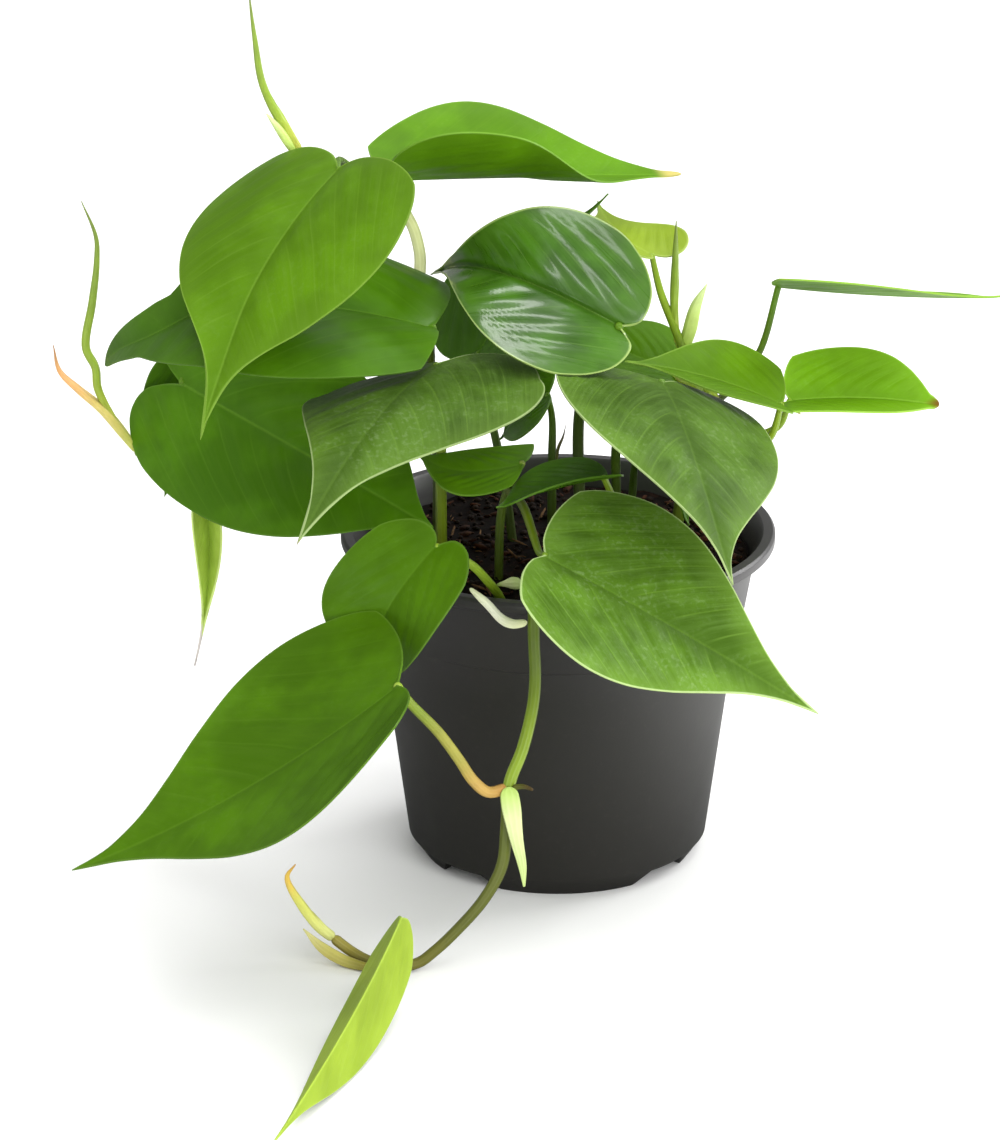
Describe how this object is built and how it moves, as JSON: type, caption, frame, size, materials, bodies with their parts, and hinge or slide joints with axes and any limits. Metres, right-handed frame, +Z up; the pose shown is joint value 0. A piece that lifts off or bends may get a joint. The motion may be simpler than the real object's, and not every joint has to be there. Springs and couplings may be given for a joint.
{
  "type": "potted philodendron",
  "caption": "Heart-leaved trailing houseplant in a round plastic nursery pot, with a vine that hangs over the rim to the ground and new leaves still rolled up.",
  "frame": {"origin": "on the pot's axis, on the surface the pot stands on, at the middle of the pot's centre foot", "axes": "+Z up along the pot's axis, -Y towards the viewer of the picture, +X to the viewer's right"},
  "size_m": [0.2641, 0.2622, 0.248],
  "materials": {
    "pot_plastic": "satin",
    "potting_soil": "matte",
    "leaf_green": "satin",
    "leaf_dark": "gloss",
    "leaf_young": "satin",
    "stem_green": "satin",
    "sheath_papery": "matte"
  },
  "bodies": {
    "root": {"pot": "pot_plastic", "soil": "potting_soil", "leaf_crown": "leaf_green", "leaf_top_right": "leaf_green", "leaf_glossy": "leaf_dark", "leaf_upper_left": "leaf_dark", "leaf_lower_left": "leaf_dark", "leaf_middle": "leaf_green", "leaf_right": "leaf_green", "leaf_front_right": "leaf_green", "leaf_front_heart": "leaf_green", "leaf_trailing": "leaf_green", "leaf_young_trailing": "leaf_young", "leaf_small_heart": "leaf_green", "leaf_small_dark": "leaf_dark", "leaf_behind_glossy": "leaf_dark", "leaf_back_right": "leaf_green", "leaf_far_right": "leaf_green", "leaf_far_right_outer": "leaf_green", "leaf_level": "leaf_green", "leaf_lime": "leaf_young", "leaf_hanging": "leaf_young", "leaf_back_left": "leaf_dark", "leaf_inner_right": "leaf_dark", "leaf_inner": "leaf_dark", "vine_trailing": "stem_green", "vine_crown": "stem_green", "vine_left": "stem_green", "vine_right": "stem_green", "vine_front": "stem_green", "shoot_crown": "leaf_young", "shoot_left": "leaf_young", "shoot_right": "leaf_young", "shoot_trailing": "leaf_young", "stalk_crown": "stem_green", "stalk_top_right": "stem_green", "stalk_glossy": "stem_green", "stalk_upper_left": "stem_green", "stalk_lower_left": "stem_green", "stalk_middle": "stem_green", "stalk_right": "stem_green", "stalk_front_right": "stem_green", "stalk_front_heart": "stem_green", "stalk_trailing": "stem_green", "stalk_young_trailing": "stem_green", "stalk_small_dark": "stem_green", "stalk_behind_glossy": "stem_green", "stalk_far_right": "stem_green", "stalk_far_right_outer": "stem_green", "stalk_level": "stem_green", "stalk_lime": "stem_green", "stalk_inner_right": "stem_green", "stalk_inner": "stem_green", "sheath_crown": "sheath_papery", "sheath_left": "sheath_papery", "sheath_right": "sheath_papery", "sheath_node": "sheath_papery", "sheath_rim": "sheath_papery", "sheath_ground": "sheath_papery"}
  },
  "joints": []
}
